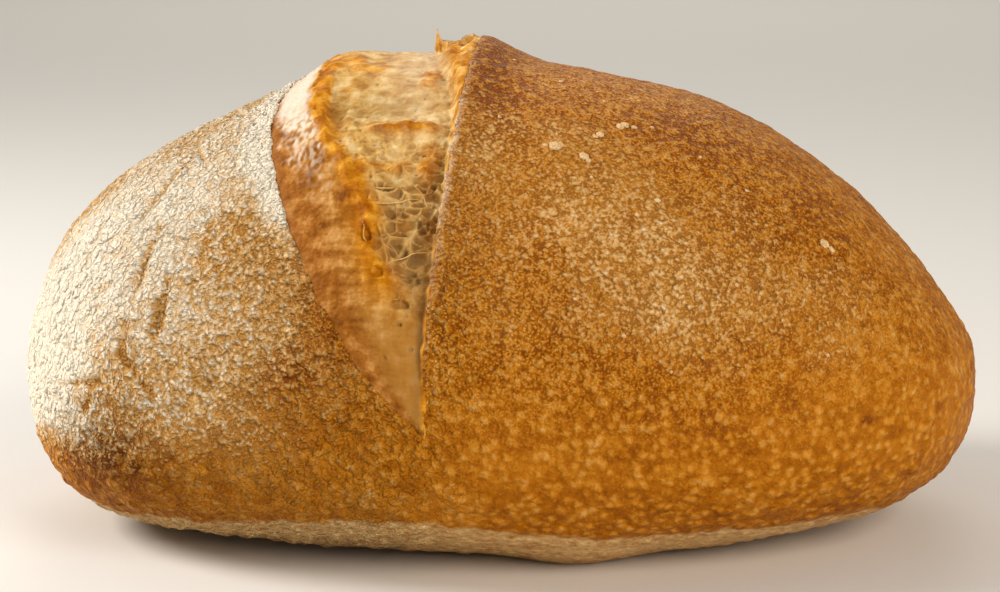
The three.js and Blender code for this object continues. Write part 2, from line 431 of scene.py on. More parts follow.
def creases(x, angle, wobble):
    """Depth of the creases, each with a soft shoulder thrown up beside it."""
    depth = np.zeros_like(x)
    y = angle * MM_PER_DEGREE
    for x1, a1, x2, a2, deep, half in CREASES:
        start = np.array([x1, a1 * MM_PER_DEGREE])
        along = np.array([x2, a2 * MM_PER_DEGREE]) - start
        share = ((x - start[0]) * along[0] + (y - start[1]) * along[1]) / (along @ along)
        held = np.clip(share, 0, 1)
        away = np.hypot(x - start[0] - held * along[0], y - start[1] - held * along[1])
        away = away + 0.8 * wobble
        fade = ramp(-0.1, 0.2, share) * (1 - ramp(0.8, 1.1, share))
        depth += deep * fade * (0.45 * bell(np.abs(away) - 2.6 * half, 1.4 * half) - bell(away, half))
    return depth


# %% Wrinkle and blister the crust
high_up = ramp(26, 62, plain_skin[:, 2])
scorched = bell(crust_x + 87, 13) * bell(crust_angle + 11, 13)
to_left = ramp(5, -32, crust_x) * (1 - 0.5 * ramp(-76, -98, crust_x) * (1 - scorched))
wrinkled = 0.48 * skin_noise(4.2, 3, (0.8, 1, 1.7)) + 0.30 * skin_noise(2.4, 12)
swirl = 1.6 * skin_noise(5, 4)[:, None] * np.array([1, -1, 1])
_, to_wall = cells_at(plain_skin + swirl, 4.4, 5)
blisters = 0.45 * ramp(0.0, 0.5, to_wall) - 0.25
creased = creases(crust_x, crust_angle, skin_noise(7, 6))
small_relief = wrinkled * (0.3 + 0.7 * to_left + scorched) + blisters * (1 - 0.55 * high_up + scorched)
at_lip = bell(from_lip, 1.6) * (crust_open > 0)
fine_relief = lumps_at(plain_skin) + creased + small_relief * (1 - 0.7 * at_lip)
fine_relief *= 1 - ramp(2.5, 0.5, plain_skin[:, 2])  # flat where it lies on the stone
edge_roll = np.where(is_right, 0.15, 0.1) * bell(from_lip, 1.4) * crust_open
edge_roll *= 1 + 1.5 * skin_noise(2.6, 7)
relief_points = plain_skin + get_normals(crust_mesh) * (fine_relief + edge_roll)[:, None]
print(f"relief from {fine_relief.min():.1f} to {fine_relief.max():.1f} mm")

# %% Give the torn lips their thickness
LEFT_LIP = [(-0.2, 0.10), (0.1, 0.35), (2.4, 0.9)]  # mm away from the slash and below the skin
RIGHT_LIP = [(-0.25, 0.10), (-0.55, 0.5), (1.2, 1.7)]


def left_edge(openness):
    """How much of its thickness the left lip shows: none where the slash is narrow."""
    return ramp(0.50, 0.95, openness)


def right_edge(openness):
    """How much of its thickness the right lip shows: it thins out towards the tips."""
    return ramp(0.12, 0.75, openness)


turn = np.radians(crust_angle)
straight_out = np.column_stack([np.zeros_like(turn), -np.cos(turn), np.sin(turn)])
rough = 1 + 0.5 * skin_noise(2.0, 8) + 0.3 * skin_noise(0.9, 13)
fade = np.where(is_right, right_edge(crust_open), left_edge(crust_open))
for outwards, profile, on_side in ((-1, LEFT_LIP, ~is_right), (1, RIGHT_LIP, is_right)):
    for step, (away, below) in enumerate(profile, start=1):
        here = on_side & (lip_turn == step)
        relief_points[here, 0] += outwards * away * (rough * fade)[here]
        relief_points[here] -= straight_out[here] * (below * fade[here] + 0.1 * step)[:, None]
frayed = 0.7 * skin_noise(3.0, 14) + 0.5 * skin_noise(1.3, 15)
relief_points[:, 0] += frayed * bell(from_lip, 2.2) * fade
relief_points[:, 2] = np.maximum(relief_points[:, 2], 0)
set_points(crust_mesh, relief_points * MM)
crust = link(bpy.data.objects.new("crust", crust_mesh))
print("crust spans", [round(d * 1000, 1) for d in crust.dimensions], "mm")

# %% [markdown]
# ## Where the crust is floury, dark or pale
#
# Flour stays where the dough was not touched by the oven's fiercest heat, and thins towards the
# foot. The skin darkens most where it stands proud: at the ear, at a corner, in single blisters.
# Towards the bottom at the front it is also darkened, as painted shade.
# The foot and the base lay in flour on the stone and stayed pale. Each of these is a number
# on every point, painted by soft patches, and the material turns them into colour.

# %% Paint the crust's masks
FLOUR_PATCHES = [
    # station, angle, reach along, reach round in degrees, how much
    (-78, 48, 42, 42, 0.95),
    (-62, 122, 50, 45, 0.85),
    (-102, 14, 18, 26, 0.60),
    (-58, 12, 26, 20, 0.28),
    (-106, 40, 14, 34, 0.35),
    (24, 24, 40, 20, 0.26),
    (12, 50, 22, 20, 0.26),
    (46, 40, 46, 28, 0.28),
    (64, 20, 32, 20, 0.15),
    (40, 14, 40, 12, 0.10),
    (-3, 50, 6, 16, 0.25),
    (-106, -14, 11, 34, 0.60),
    (-62, -2, 26, 17, 0.22),
    (-102, 150, 20, 40, 0.45),
    (0, 105, 60, 22, 0.18),
    (62, 130, 40, 30, 0.34),
    (20, 152, 44, 25, 0.42),
]
DARK_PATCHES = [
    (-88, -11, 12, 12, 0.80),
    (-93, -26, 8, 12, 0.30),
    (-44, 9, 5, 4, 0.55),
    (39, 64, 13, 8, 0.50),
    (66, 48, 14, 12, 0.28),
    (-2, 78, 5, 16, 0.55),
    (1, 62, 7, 10, 0.20),
    (8, 32, 5, 6, 0.25),
    (34, 2, 16, 7, 0.22),
    (77, -1.3, 1.2, 1.0, 0.8),
    (70, -33, 1.0, 1.0, 0.8),
    (60, 165, 22, 20, 0.40),
    (-30, 190, 20, 14, 0.35),
    (-44, -19, 34, 15, -0.32),
]


TIP_SHARE = 0.45  # of the waist's width, where the patches start to run together


def patches(spots, x, angle):
    """The sum of soft round patches. All angles meet at a tip, so patches run together there."""
    total = np.zeros_like(x)
    apart = np.minimum(1, round_ended(np.clip(x / HALF_LENGTH, -1, 1), 2.3) / TIP_SHARE)
    for station, at, along, around, much in spots:
        turned = (np.mod(angle - at + 180, 360) - 180) * apart
        total += much * bell(x - station, along) * bell(turned, around)
    return total


flour = patches(FLOUR_PATCHES, crust_x, crust_angle) + 0.14 * skin_noise(13, 9)
flour += 0.8 * bell(from_lip, 5.0) * np.where(is_right, 0.15, ramp(20, 45, crust_angle)) * crust_open
flour += 0.30 * scorched - 0.3 * np.clip(-creased / 0.5, 0, 1)
dark = patches(DARK_PATCHES, crust_x, crust_angle) + 0.08 * skin_noise(18, 10)
# Painted shade: the crust is made darker towards the bottom front, where less light reaches it.
dark += 0.08 * ramp(48, 12, plain_skin[:, 2]) * (1 - 0.8 * ramp(30, 90, crust_x))
torn = np.where(lip_turn > 0, 1.0, 0.6 * bell(from_lip, 0.5)) * np.where(is_right, 1.0, 0.35)
torn *= np.clip(0.7 + 0.9 * skin_noise(2.4, 17), 0.2, 1) * mix(0.2, 1, bell(crust_angle - 47, 16))
foot_top = 9.8 + 4.2 * bell(crust_x + 25, 30) + 1.0 * skin_noise(9, 11)
foot_top += 0.6 * skin_noise(2.2, 16)
crust_layers = {
    "flour": np.clip(flour, 0, 1.3),
    "dark": np.clip(dark, -0.5, 1),
    "foot": ramp(0.5, -0.5, plain_skin[:, 2] - foot_top),
    "torn": torn * (crust_open > 0) * fade,
    "grain": (0.16 + 0.84 * high_up) * (1 - 0.5 * ramp(40, 90, crust_x)),
    "pebbly": mix(0.6, 1.7, to_left) * mix(mix(0.35, 0.80, to_left), 1, high_up) + 1.5 * scorched,
}
set_layers(crust_mesh, crust_layers)
print(f"flour covers {np.clip(flour, 0, 1).mean():.0%} of the crust")

# %% [markdown]
# ## Materials
#
# A material is a small graph. The helper below adds a node, sets it and wires it, and each
# material is then a list of such steps, read from the pattern to the shader.

# %% One helper for every node
FACTOR, FIRST, SECOND, MIXED = 0, 6, 7, 2  # sockets of a colour Mix node
ADD = {"operation": "MULTIPLY_ADD"}  # the first input times the second, plus the third
TIMES = {"operation": "MULTIPLY"}
COLOURS = {"data_type": "RGBA"}


def add_node(tree, kind, settings=None, inputs=None):
    """Adds a shader node. An input is a plain value or another node's output."""
    made = tree.nodes.new("ShaderNode" + kind)
    for name, value in (settings or {}).items():
        if name == "stops":
            while len(made.color_ramp.elements) < len(value):
                made.color_ramp.elements.new(0.5)
            for element, (place, hex_code) in zip(made.color_ramp.elements, value):
                element.position = place
                element.color = colour(hex_code)
        else:
            setattr(made, name, value)
    for name, value in (inputs or {}).items():
        if isinstance(value, bpy.types.NodeSocket):
            tree.links.new(value, made.inputs[name])
        else:
            made.inputs[name].default_value = value
    return made


def new_material(name):
    """An empty material with its shader, and the tree to wire."""
    material = bpy.data.materials.new(name)
    material.use_nodes = True
    tree = material.node_tree
    tree.nodes.clear()
    shader = add_node(tree, "BsdfPrincipled")
    add_node(tree, "OutputMaterial", inputs={"Surface": shader.outputs["BSDF"]})
    return material, tree, shader


def mm(size):
    """A texture scale whose features are about that many millimetres across."""
    return 1000 / size


# %% [markdown]
# ### Baked crust
#
# Browned dough is a thin, hard, slightly satin skin: golden on top of each small blister, amber
# between, brown where it scorched. Flour lies on it in grains of about a millimetre that catch
# on the blisters, dead matt and cream. So the colour is built in layers, as the oven does it.

# %% Patterns of the crust
crust_skin, tree, shader = new_material("baked_crust")
where = add_node(tree, "TexCoord").outputs["Object"]
mask = {
    name: add_node(tree, "Attribute", {"attribute_name": name}).outputs["Fac"]
    for name in crust_layers
}
sway = add_node(tree, "TexNoise", None,
                {"Vector": where, "Scale": mm(2.4), "Detail": 2.0}).outputs["Color"]
bent = add_node(tree, "VectorMath", ADD, {0: sway, 1: (0.0011,) * 3, 2: where}).outputs[0]

# Blisters of the skin are 2 to 3 mm wide, pebbles 1.3 mm and grit 0.6 mm, each a round dome.
# The rubble is the skin's own unevenness, from lumps of 3 mm down.
domes = {}
for dome, size, edge, feature, more in (
    ("blister", 2.3, 0.64, "SMOOTH_F1", {"Smoothness": 0.5}),
    ("pebble", 1.25, 0.72, "F1", {}),
    ("grit", 0.6, 0.72, "F1", {}),
):
    cell = add_node(tree, "TexVoronoi", {"feature": feature},
                    {"Vector": bent, "Scale": mm(size), **more}).outputs["Distance"]
    domes[dome] = add_node(tree, "MapRange", {"interpolation_type": "SMOOTHSTEP"},
                           {"Value": cell, "From Min": edge, "From Max": 0.10}).outputs[0]
rubble, speck, flake, drift = (
    add_node(tree, "TexNoise", None,
             {"Vector": where, "Scale": mm(size), "Detail": detail, "Roughness": roughness}).outputs["Fac"]
    for size, detail, roughness in ((3.0, 3.0, 0.55), (0.75, 2.0, 0.6), (2.2, 3.0, 0.6), (8.0, 3.0, 0.55))
)

# %% Colour of the crust
# Bare skin: amber brown in the gaps, gold on the blisters. Its finest grain shows on top.
tone = -0.82
for pattern, weight in ((speck, 1.08), (domes["grit"], 0.60), (domes["pebble"], 0.34)):
    tone = add_node(tree, "Math", ADD, {0: pattern, 1: weight, 2: tone}).outputs[0]
tone = add_node(tree, "Math", ADD, {0: tone, 1: mask["grain"], 2: -0.29}).outputs[0]
for pattern, weight in ((drift, 0.60), (flake, 0.55), (domes["blister"], 0.34)):
    tone = add_node(tree, "Math", ADD, {0: pattern, 1: weight, 2: tone}).outputs[0]
# Where the skin is dark, the gaps between the blisters are painted darker than the blister tops:
# the dark itself is scorching, and the deeper dark in the gaps is painted shade.
scorch_and_gap_shade = add_node(tree, "Math", ADD, {0: domes["blister"], 1: 0.55, 2: -0.62}).outputs[0]
scorch_and_gap_shade = add_node(tree, "Math", ADD, {0: domes["pebble"], 1: 0.25, 2: scorch_and_gap_shade}).outputs[0]
tone = add_node(tree, "Math", ADD, {0: scorch_and_gap_shade, 1: mask["dark"], 2: tone}).outputs[0]
browned = add_node(tree, "ValToRGB", {"stops": [
    (0.00, "#7c3e00"), (0.25, "#a05c00"), (0.50, "#bc7818"), (0.75, "#cc9244"), (1.00, "#deb474"),
]}, {"Fac": tone}).outputs["Color"]

# Where much flour lies, a thin veil of it hides the skin between the flakes. Flakes are tan where
# they are thin and cream where they are thick, so the hollows of the rubble stay darker.
unscorched = add_node(tree, "Math", ADD, {0: mask["dark"], 1: -0.5, 2: mask["flour"]}).outputs[0]
veil = add_node(tree, "MapRange", None,
                {"Value": unscorched, "From Min": 0.28, "From Max": 1.00, "To Max": 0.88}).outputs[0]
veil_tint = add_node(tree, "ValToRGB", {"stops": [(0.75, "#b8883e"), (1.00, "#dcc090")]},
                     {"Fac": mask["flour"]}).outputs["Color"]
cover = -2.14
for pattern, weight in ((mask["flour"], 2.2), (rubble, 0.6), (speck, 0.5), (domes["grit"], 1.0),
                        (domes["pebble"], 1.1), (domes["blister"], 0.6)):
    cover = add_node(tree, "Math", ADD, {0: pattern, 1: weight, 2: cover}).outputs[0]
floury = add_node(tree, "MapRange", None,
                  {"Value": cover, "From Min": 0.10, "From Max": 0.85}).outputs[0]
thick = -1.42
for pattern, weight in ((mask["flour"], 1.6), (rubble, 0.6), (speck, 0.6),
                        (domes["pebble"], 0.35), (domes["blister"], 0.2)):
    thick = add_node(tree, "Math", ADD, {0: pattern, 1: weight, 2: thick}).outputs[0]
flour_tint = add_node(tree, "ValToRGB", {"stops": [
    (0.00, "#b87e3a"), (0.50, "#d6a96c"), (1.00, "#f2e4cc"),
]}, {"Fac": thick}).outputs["Color"]

# The foot lay in flour on the stone, and the torn edge of the skin is pale and pinkish.
brushed = add_node(tree, "VectorMath", {"operation": "MULTIPLY"},
                   {0: where, 1: (0.5, 0.5, 1.0)}).outputs[0]
brushing = add_node(tree, "TexNoise", None,
                    {"Vector": brushed, "Scale": mm(1.1), "Detail": 4.0, "Roughness": 0.68}).outputs["Fac"]
foot_tint = add_node(tree, "ValToRGB", {"stops": [(0.32, "#b07a38"), (0.68, "#e8c488")]},
                     {"Fac": brushing}).outputs["Color"]
torn_tint = colour("#ecd0ae")

# Each finish lies over those before it.
finish = browned
for much, tint in (
    (veil, veil_tint),
    (floury, flour_tint),
    (mask["foot"], foot_tint),
    (mask["torn"], torn_tint),
):
    finish = add_node(tree, "Mix", COLOURS,
                      {FACTOR: much, FIRST: finish, SECOND: tint}).outputs[MIXED]
tree.links.new(finish, shader.inputs["Base Color"])

# %% Sheen and relief of the crust
sheen = add_node(tree, "MapRange", None,
                 {"Value": floury, "To Min": 0.5, "To Max": 0.95}).outputs[0]
tree.links.new(sheen, shader.inputs["Roughness"])
shader.inputs["Specular IOR Level"].default_value = 0.08
height = 0.0
for pattern, weight in ((rubble, 0.7), (domes["blister"], 0.44), (domes["pebble"], 0.38),
                        (domes["grit"], 0.17), (speck, 0.14)):
    height = add_node(tree, "Math", ADD, {0: pattern, 1: weight, 2: height}).outputs[0]
height = add_node(tree, "Math", TIMES, {0: height, 1: mask["pebbly"]}).outputs[0]
height = add_node(tree, "Math", ADD, {0: domes["blister"], 1: 0.10, 2: height}).outputs[0]
relief = add_node(tree, "Bump", None,
                  {"Strength": 1.0, "Distance": 1.7 * MM, "Height": height})
tree.links.new(relief.outputs["Normal"], shader.inputs["Normal"])
crust_mesh.materials.append(crust_skin)
print("crust material has", len(tree.nodes), "nodes")

# %% [markdown]
# ## The torn crumb
#
# Between the lips the dough tore: first a smooth band of young skin beside the left lip, then a
# ragged golden rim, then open crumb with its cells and strands, then a wall that climbs under
# the ear. A finely divided grid is laid between the lips and pushed in and out by those forms.

# %% Lay a grid between the lips
ROWS, COLUMNS = 570, 170
TUCK_UNDER = 1.0  # mm that the grid reaches under each lip

crumb_bm = bmesh.new()
bmesh.ops.create_grid(crumb_bm, x_segments=COLUMNS, y_segments=ROWS, size=0.5)
crumb_mesh = to_mesh("torn_crumb", crumb_bm)

flat = get_points(crumb_mesh)
angle = mix(SLASH_FROM - 1.5, SLASH_TO + 1.5, flat[:, 1] + 0.5)
x = mix(left_lip(angle) - TUCK_UNDER, right_lip(angle) + TUCK_UNDER, flat[:, 0] + 0.5)
width = np.maximum(right_lip(angle) - left_lip(angle), 0.01)
across = np.clip((x - left_lip(angle)) / width, 0, 1)
to_left_lip = x - left_lip(angle)
to_right_lip = right_lip(angle) - x
plain_crumb = skin_place(x, angle, np.zeros_like(x))
print("crumb grid has", len(crumb_mesh.polygons), "faces")


def crumb_noise(size, seed, stretch=(1, 1, 1)):
    """Noise over the plain surface between the lips."""
    return noise_at(plain_crumb, size, seed, stretch)


# %% Forms of the burst
FLOOR_DEPTH = 8
CROWN_AT, CROWN_REACH = 95, 38
SWELL = 2.0
COLLAR_AT, COLLAR_REACH = 90, 17
COLLAR_WIDTH = 7  # mm that the wall widens under the ear
COLLAR_TOP = 1.1  # mm above the plain skin
BAND_SHARES = [1.0, 0.70, 0.48, 0.255, 0.185, 0.18, 0.30, 0.55, 1.0]  # of the gap, every 20 degrees

open_here = gape(angle)
crown = bell(angle - CROWN_AT, CROWN_REACH)
collar = bell(angle - COLLAR_AT, COLLAR_REACH)
upper = ramp(12, 42, angle)  # a smooth membrane closes the low end of the tear
floor_depth = -FLOOR_DEPTH * open_here * (1 - 0.8 * crown) * mix(0.45, 0.9, ramp(8, 34, angle))
tear = 0.035 * crumb_noise(5, 20) + 0.018 * crumb_noise(1.4, 21)
band_end = along_stations(BAND_SHARES, angle / 80 - 1) + tear * (0.2 + 0.8 * upper)
band_end -= 0.09 * bell(angle - 29, 6)
in_band = across < band_end
band_share = np.clip(across / np.maximum(band_end, 1e-3), 0, 1)
in_crumb = np.clip((across - band_end) / np.maximum(1 - band_end, 1e-3), 0, 1)
second_line = bell(to_left_lip - 2.6 - 0.21 * (62 - angle), 0.6) * bell(angle - 54, 9)
crease = -0.2 * left_edge(open_here) * bell(to_left_lip - 0.7, 1.2) - 0.3 * second_line
swell = SWELL * crown * bell(across - 0.22, 0.16) * ramp(0, 0.12, across)
wall_foot = mix(1.2, 4.2, crown) + COLLAR_WIDTH * collar
wall_top = COLLAR_WIDTH * collar
wall = ramp(wall_foot, wall_top, to_right_lip + 0.7 * crumb_noise(2.5, 22))
lip_height = ear_lift(right_lip(angle), angle) - 0.5 * right_edge(open_here)
wall_height = mix(lip_height, COLLAR_TOP, ramp(1.5, 5, to_right_lip) * collar)
band_form = 0.4 * floor_depth * band_share**2
crumb_form = floor_depth * mix(0.4, 1, ramp(0, 0.5, in_crumb))
form = mix(np.where(in_band, band_form, crumb_form) + swell, wall_height, wall) + crease
print(f"the burst is {-form.min():.1f} mm deep and stands {form.max():.1f} mm proud")


# %% Folds of the tear
def near_spot(spot_across, spot_angle):
    """Distances in mm along the loaf and round it from a place in the slash."""
    return (across - spot_across) * width, (angle - spot_angle) * MM_PER_DEGREE


FOLDS = [
    # across, angle, half width, half height, rise in mm, how golden
    (0.70, 57.5, 7.5, 2.2, 1.9, 1.2),
    (0.60, 65.0, 10.0, 5.5, -1.7, -0.3),
    (0.34, 62.0, 2.2, 9.0, -1.8, 0.3),
    (0.33, 84.0, 4.5, 4.5, 0.7, 1.1),
    (0.46, 79.5, 4.0, 2.6, 0.6, 1.0),
    (0.25, 70.0, 1.7, 12.0, 0.9, 1.2),
    (0.30, 55.0, 1.8, 7.0, 0.5, 0.9),
    (0.79, 75.0, 1.8, 4.5, 0.9, 1.0),
    (0.58, 47.5, 9.0, 1.5, 0.7, 0.8),
    (0.86, 48.0, 1.8, 7.0, 0.7, 0.9),
    (0.74, 35.0, 1.8, 4.0, 0.4, 0.8),
    (0.90, 33.0, 1.6, 6.0, 0.3, 0.6),
    (0.42, 40.0, 2.4, 7.0, 0.2, 0.6),
    (0.52, 26.0, 3.4, 7.0, 0.2, 0.5),
    (0.60, 118.0, 8.0, 1.8, 1.2, 0.9),
    (0.45, 132.0, 6.0, 1.6, 0.9, 0.7),
]
fold_rise, fold_gold = np.zeros_like(x), np.zeros_like(x)
buckle = 1.1 * crumb_noise(3.4, 38) + 0.5 * crumb_noise(1.3, 39)
for spot_across, spot_angle, half_wide, half_high, rise, gilded in FOLDS:
    along, around = near_spot(spot_across, spot_angle)
    shape = np.exp(-(((along + buckle) / half_wide) ** 4) - ((around + buckle) / half_high) ** 2)
    fold_rise += rise * shape
    fold_gold += gilded * shape
print(len(FOLDS), "folds")


# %% Cells of the crumb
def bowl(to_wall, reach):
    """0 on a cell's thin wall and 1 on its floor, steepest at the wall."""
    share = np.clip(to_wall / reach, 0, 1)
    return share * (2 - share)


free = (1 - wall) * np.minimum(1, open_here * 1.3)
loose = ramp(0.0, 0.10, in_crumb) * free
window = bell(across - 0.72, 0.30) * bell(angle - 29, 12)
far_side = ramp(98, 114, angle) * ramp(156, 138, angle)
airy = np.clip(window + 0.75 * far_side, 0, 1)
webbed = np.clip(0.25 + 0.75 * bell(angle - 44, 9) + 0.5 * airy, 0, 1) * ramp(8, 24, angle)
slanted = plain_crumb @ np.array([[0.82, 0.0, 0.57], [0.0, 1.0, 0.0], [-0.57, 0.0, 0.82]])
wavy = slanted + 1.3 * crumb_noise(4, 23)[:, None]
_, big_wall = cells_at(wavy, 6.5, 24, (1.4, 1, 1))
_, mid_wall = cells_at(wavy, 2.8, 25, (1.3, 1, 1))
_, small_wall = cells_at(plain_crumb, 1.2, 26)
pore_centre, _ = cells_at(plain_crumb, 2.8, 37)
big_bowl, mid_bowl, small_bowl = bowl(big_wall, 0.5), bowl(mid_wall, 0.5), bowl(small_wall, 0.5)
pore = ramp(0.19, 0.09, pore_centre) * (0.4 + 0.6 * ramp(25, 50, angle))
crumb_relief = airy * (0.9 - 1.9 * big_bowl) + webbed * (0.35 - 0.8 * mid_bowl)
smooth_top = ramp(54, 66, angle) * ramp(112, 98, angle)
crumb_relief += (0.10 - 0.22 * small_bowl) * ramp(10, 30, angle) * (1 - 0.8 * smooth_top)
crumb_relief -= 0.5 * pore * (1 - 0.6 * smooth_top)
crumb_relief += 0.35 * crumb_noise(3.5, 40)
crumb_relief += 0.45 * smooth_top * crumb_noise(2.6, 47, (2.6, 1, 1))
print(f"cells are {-crumb_relief.min():.1f} mm deep")

# %% Bubbles that burst
BUBBLES = [
    # across, angle, half width, half height, depth in mm
    (0.49, 32.2, 1.2, 2.0, 1.7),
    (0.705, 29.1, 2.4, 1.9, 1.6),
    (0.54, 25.0, 1.5, 1.2, 1.5),
    (0.80, 24.0, 2.4, 1.6, 1.4),
    (0.71, 19.5, 2.6, 1.1, 2.2),
    (0.767, 17.4, 0.4, 0.4, 0.8),
    (0.695, 16.1, 0.6, 0.5, 1.2),
    (0.817, 12.1, 0.55, 0.55, 1.0),
    (0.457, 10.8, 0.45, 0.5, 0.9),
    (0.70, 36.5, 2.8, 2.2, 1.2),
    (0.87, 34.5, 1.6, 1.8, 1.0),
    (0.60, 42.5, 1.8, 1.2, 0.9),
    (0.88, 43.0, 1.8, 1.8, 1.2),
]
FAR_BUBBLES = 14  # spread over the back of the slash by the golden ratio
BUBBLES += [
    (mix(0.35, 0.88, n * 0.618034 % 1), mix(104, 150, (n + 0.5) / FAR_BUBBLES),
     mix(1.0, 2.4, n * 0.754878 % 1), mix(1.0, 1.8, n * 0.569840 % 1), 1.6)
    for n in range(FAR_BUBBLES)
]
pit = np.zeros_like(x)
ragged = 0.22 * crumb_noise(1.5, 41)
for spot_across, spot_angle, half_wide, half_high, deep in BUBBLES:
    along, around = near_spot(spot_across, spot_angle)
    pit = np.maximum(pit, deep * ramp(1.1, 0.55, np.hypot(along / half_wide, around / half_high) + ragged))
print(len(BUBBLES), "burst bubbles")

# %% Rim, band and wall
rim_away = (across - band_end) * width
rim = bell(rim_away, 0.8) * (0.7 + 0.9 * crumb_noise(2.6, 28)) * upper * (angle < 150)
fine_skin = 0.22 * crumb_noise(1.7, 29, (0.5, 1, 2.4)) + 0.12 * crumb_noise(0.9, 30)
band_relief = in_band * (1 - ramp(0.85, 1.0, band_share)) * fine_skin * (0.6 + 1.7 * crown)
wall_relief = wall * (0.35 * crumb_noise(1.8, 31, (0.7, 1, 2)) + 0.2 * crumb_noise(0.8, 32))
rags = collar * wall * (0.7 * crumb_noise(3.0, 33) + 0.35 * crumb_noise(1.1, 34))
surface = form + loose * crumb_relief - free * pit + (1 - wall) * fold_rise + rim
surface += band_relief + wall_relief + rags + lumps_at(plain_crumb)

# The grid dives under both lips and past both tips.
near_edge = np.maximum(0, np.minimum(to_left_lip, to_right_lip))
past_tip = np.maximum(SLASH_FROM - angle, angle - SLASH_TO)
edge_here = np.where(to_left_lip < to_right_lip, 0.25 * left_edge(open_here), right_edge(open_here))
surface -= bell(near_edge, 0.5) * 0.5 * edge_here
surface -= ramp(0, 0.6, -np.minimum(to_left_lip, to_right_lip)) * mix(0.15, 0.6, edge_here)
surface -= 0.25 * ramp(-0.2, 1.0, past_tip)
crumb_points = skin_place(x, angle, surface + swollen(x, angle))
set_points(crumb_mesh, crumb_points * MM)
torn_crumb = link(bpy.data.objects.new("torn_crumb", crumb_mesh))
print("torn crumb spans", [round(d * 1000, 1) for d in torn_crumb.dimensions], "mm")

# %% Masks of the crumb
# Painted shade: the floors of the cells, the burst bubbles, the sunken folds, the window of big bubbles
# and a strip under the right lip are made darker and greyer, where shade falls.
hollow = loose * (0.7 * airy * big_bowl + 0.35 * webbed * mid_bowl + 0.5 * pore)
hollow += 1.1 * free * np.minimum(pit, 1) + 0.35 * np.clip(-fold_rise / 1.5, 0, 1)
hollow += 0.45 * loose * window + 0.35 * bell(to_right_lip - 1.3, 0.9) * ramp(26, 12, angle)
gilt_patchy = 0.95 + 0.9 * crumb_noise(3, 35) + 0.5 * crumb_noise(1.2, 43)
gold = bell(rim_away - 0.8, 2.4) * upper * gilt_patchy
gold += fold_gold * (0.9 + 0.5 * crumb_noise(1.8, 42))
gold += wall * mix(1.0, np.clip(0.7 + 1.6 * crumb_noise(2.5, 46), 0, 1.2), collar)
gold += 0.08 * ramp(0.0, 0.35, crumb_noise(6, 36)) * loose
gold *= 1 - 0.7 * loose * window
gold += 0.6 * bell(rim_away + 3, 6) * ramp(54, 42, angle) * ramp(15, 24, angle)
# The pale cream top of the young skin is partly paler skin and partly painted sheen, and lower down it
# breaks into streaks that are painted highlights.
pale_wave = 2.0 * crumb_noise(4, 44) + 1.6 * crumb_noise(1.3, 45)
pale_wave *= mix(1, 0.35, ramp(58, 72, angle))
streaks = 7 * crumb_noise(3.0, 48, (0.6, 1, 2.5))
pale_top = ramp(36, 62, angle + streaks) * bell(np.maximum(0, angle - 80), 27)
pale_top *= ramp(0.9, 3.0, to_left_lip - 0.12 * (62 - angle) + pale_wave)
sheen_streaks = np.clip(0.6 + 1.8 * crumb_noise(1.5, 49, (0.6, 1, 1.8)), 0, 1)
pale_top *= mix(sheen_streaks, 1, ramp(54, 72, angle))
young = in_band * (1 - ramp(0.75, 1.0, band_share))
toast = young * (1 - 0.85 * pale_top) * mix(1.0, 0.75, ramp(0.3, 0.7, band_share))
toast *= 1 - 0.8 * ramp(42, 20, angle) * ramp(0.15, 0.55, across)
thin_wall = np.maximum(airy * (1 - ramp(0, 0.07, big_wall)), webbed * (1 - ramp(0, 0.11, mid_wall)))
shade = bell(to_left_lip - 0.6, 1.0) * open_here * mix(1, 0.35, ramp(56, 72, angle)) + 0.8 * second_line
crumb_layers = {
    "hollow": np.clip(hollow, 0, 1),
    "gold": np.clip(gold * (1 - 0.9 * pale_top * young), 0, 1),
    "toast": np.clip(toast, 0, 1),
    "thin_wall": loose * thin_wall,
    "cured": ramp(44, 8, angle) + ramp(135, 155, angle) + 0.28 * loose * ramp(60, 74, angle),
    "shade": np.clip(shade, 0, 1),
    "cream": np.clip(pale_top * young, 0, 1) + 0.35 * loose * bell(across - 0.72, 0.2) * crown,
}
set_layers(crumb_mesh, crumb_layers)

# %% [markdown]
# ### Torn bread crumb
#
# Crumb is a set foam of starch and gluten, cream coloured and dead matt, and a little light
# passes through its thin walls. Where it faced the oven it turned golden, and the young skin
# beside the lip browned last, so it stayed smooth and keeps a satin gloss.

# %% Colour of the crumb
crumb_skin, tree, shader = new_material("torn_bread_crumb")
where = add_node(tree, "TexCoord").outputs["Object"]
mask = {
    name: add_node(tree, "Attribute", {"attribute_name": name}).outputs["Fac"]
    for name in crumb_layers
}
mottle = add_node(tree, "TexNoise", None,
                  {"Vector": where, "Scale": mm(3.5), "Detail": 2.0, "Roughness": 0.5}).outputs["Fac"]
specks = add_node(tree, "TexNoise", None,
                  {"Vector": where, "Scale": mm(0.6), "Detail": 3.0, "Roughness": 0.65}).outputs["Fac"]
drawn = add_node(tree, "VectorMath", {"operation": "MULTIPLY"},
                 {0: where, 1: (0.3, 1.0, 1.0)}).outputs[0]
fibres = add_node(tree, "TexNoise", None,
                  {"Vector": drawn, "Scale": mm(1.5), "Detail": 3.0, "Roughness": 0.55}).outputs["Fac"]
tone = 0.0
for pattern, weight in ((specks, 0.17), (fibres, 0.25), (mottle, 0.58)):
    tone = add_node(tree, "Math", ADD, {0: pattern, 1: weight, 2: tone}).outputs[0]
